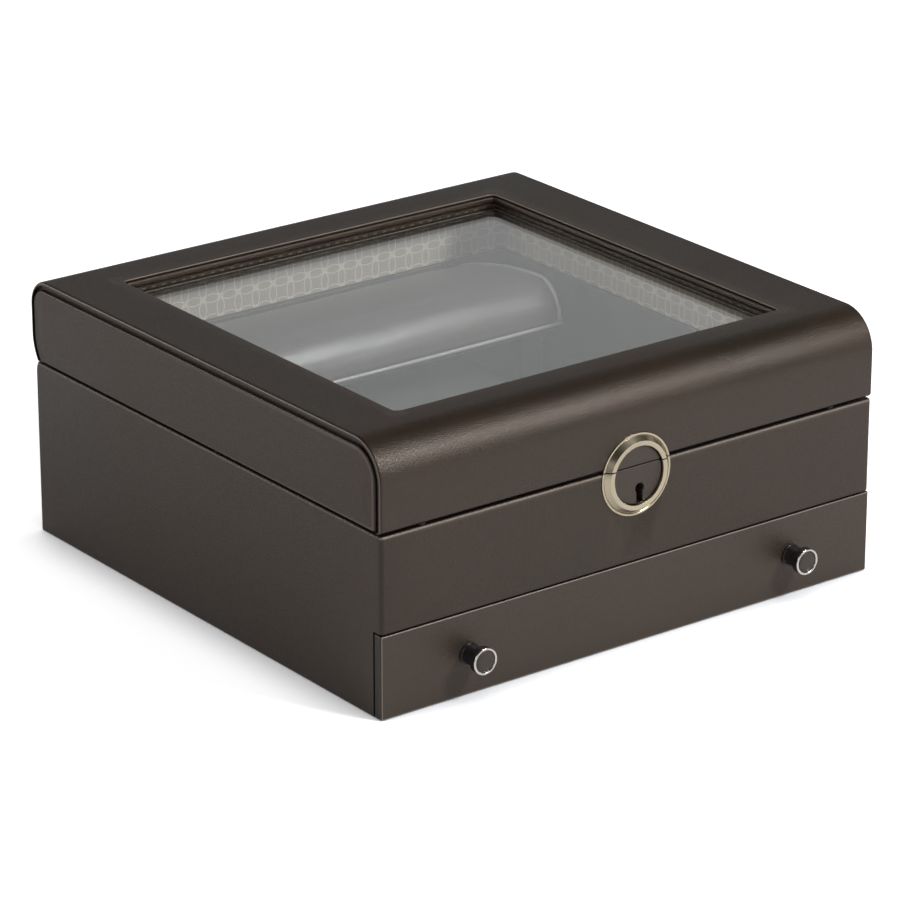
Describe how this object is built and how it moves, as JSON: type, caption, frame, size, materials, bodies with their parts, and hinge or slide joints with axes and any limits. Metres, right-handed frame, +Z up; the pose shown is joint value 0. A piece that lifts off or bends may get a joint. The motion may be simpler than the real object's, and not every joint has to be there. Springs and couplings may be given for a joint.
{
  "type": "watch stand box",
  "caption": "Leather-covered watch box with a hinged glazed lid, a padded bar on legs for watches, a round split lock plate and a lined drawer with turned knobs.",
  "frame": {"origin": "centre of the case's footprint on the surface it stands on", "axes": "+Z up, +X to the right of someone facing the front, front face towards -Y"},
  "size_m": [0.26, 0.2681, 0.118],
  "materials": {
    "fibreboard": "sanded",
    "drawer_wood": "satin",
    "cover_leather": "fine grain, soft satin",
    "moulding_leather": "fine grain, soft satin",
    "inlay_leather": "fine grain, matt",
    "dark_suede": "short nap",
    "patterned_lining": "woven, with a fine lighter line pattern",
    "cushion_cover": "brushed",
    "felt": "pressed",
    "glass": "clear",
    "antique_nickel": "brushed, warm",
    "hinge_brass": "satin",
    "knob_black": "gloss",
    "screw_steel": "bright"
  },
  "bodies": {
    "case": {"base_felt": "felt", "base_board": "fibreboard", "side_board_left": "fibreboard", "side_board_right": "fibreboard", "back_board": "fibreboard", "front_rail": "fibreboard", "shelf_board": "fibreboard", "case_leather": "cover_leather", "case_floor_lining": "dark_suede", "case_wall_linings": "dark_suede", "rim_bumpers": "felt", "drawer_runner_left": "drawer_wood", "drawer_runner_right": "drawer_wood", "drawer_stop": "drawer_wood", "stand_leg_left": "dark_suede", "stand_leg_right": "dark_suede", "stand_board": "dark_suede", "watch_cushion": "cushion_cover", "escutcheon_lower": "antique_nickel", "escutcheon_inlay_lower": "inlay_leather", "lock_case": "hinge_brass", "lock_screws": "hinge_brass", "hinge_case_leaf_left": "hinge_brass", "hinge_case_leaf_right": "hinge_brass", "hinge_pins": "hinge_brass", "hinge_case_screws": "hinge_brass"},
    "lid": {"lid_front_board": "fibreboard", "lid_back_board": "fibreboard", "lid_window_frame": "fibreboard", "lid_side_board_left": "fibreboard", "lid_side_board_right": "fibreboard", "lid_leather": "cover_leather", "lid_side_pad_left": "cover_leather", "lid_side_pad_right": "cover_leather", "window_moulding": "moulding_leather", "glass_pane": "glass", "glass_strips": "moulding_leather", "lid_wall_linings": "patterned_lining", "lid_ceiling_lining": "patterned_lining", "escutcheon_upper": "antique_nickel", "escutcheon_inlay_upper": "inlay_leather", "strike_plate": "hinge_brass", "hinge_lid_leaf_left": "hinge_brass", "hinge_lid_leaf_right": "hinge_brass", "lid_screws": "hinge_brass"},
    "drawer": {"drawer_face_board": "fibreboard", "drawer_face_leather": "cover_leather", "drawer_box_front": "drawer_wood", "drawer_side_left": "drawer_wood", "drawer_side_right": "drawer_wood", "drawer_back": "drawer_wood", "drawer_bottom": "drawer_wood", "drawer_lining": "dark_suede", "drawer_knob_left": "knob_black", "drawer_knob_right": "knob_black", "knob_rings": "antique_nickel", "knob_inlays": "inlay_leather", "knob_screws": "screw_steel"},
    "lock_bolt": {"lock_bolt": "hinge_brass"}
  },
  "joints": [
    {"name": "lid_hinge", "type": "hinge", "parent": "case", "child": "lid", "pos_m": [0, 0.1272, 0.08], "axis": [-1, 0, 0], "range_deg": [0, 95]},
    {"name": "drawer_slide", "type": "slide", "parent": "case", "child": "drawer", "axis": [0, -1, 0], "range_m": [0, 0.17]},
    {"name": "lock_bolt_slide", "type": "slide", "parent": "case", "child": "lock_bolt", "axis": [1, 0, 0], "range_m": [0, 0.004]}
  ]
}
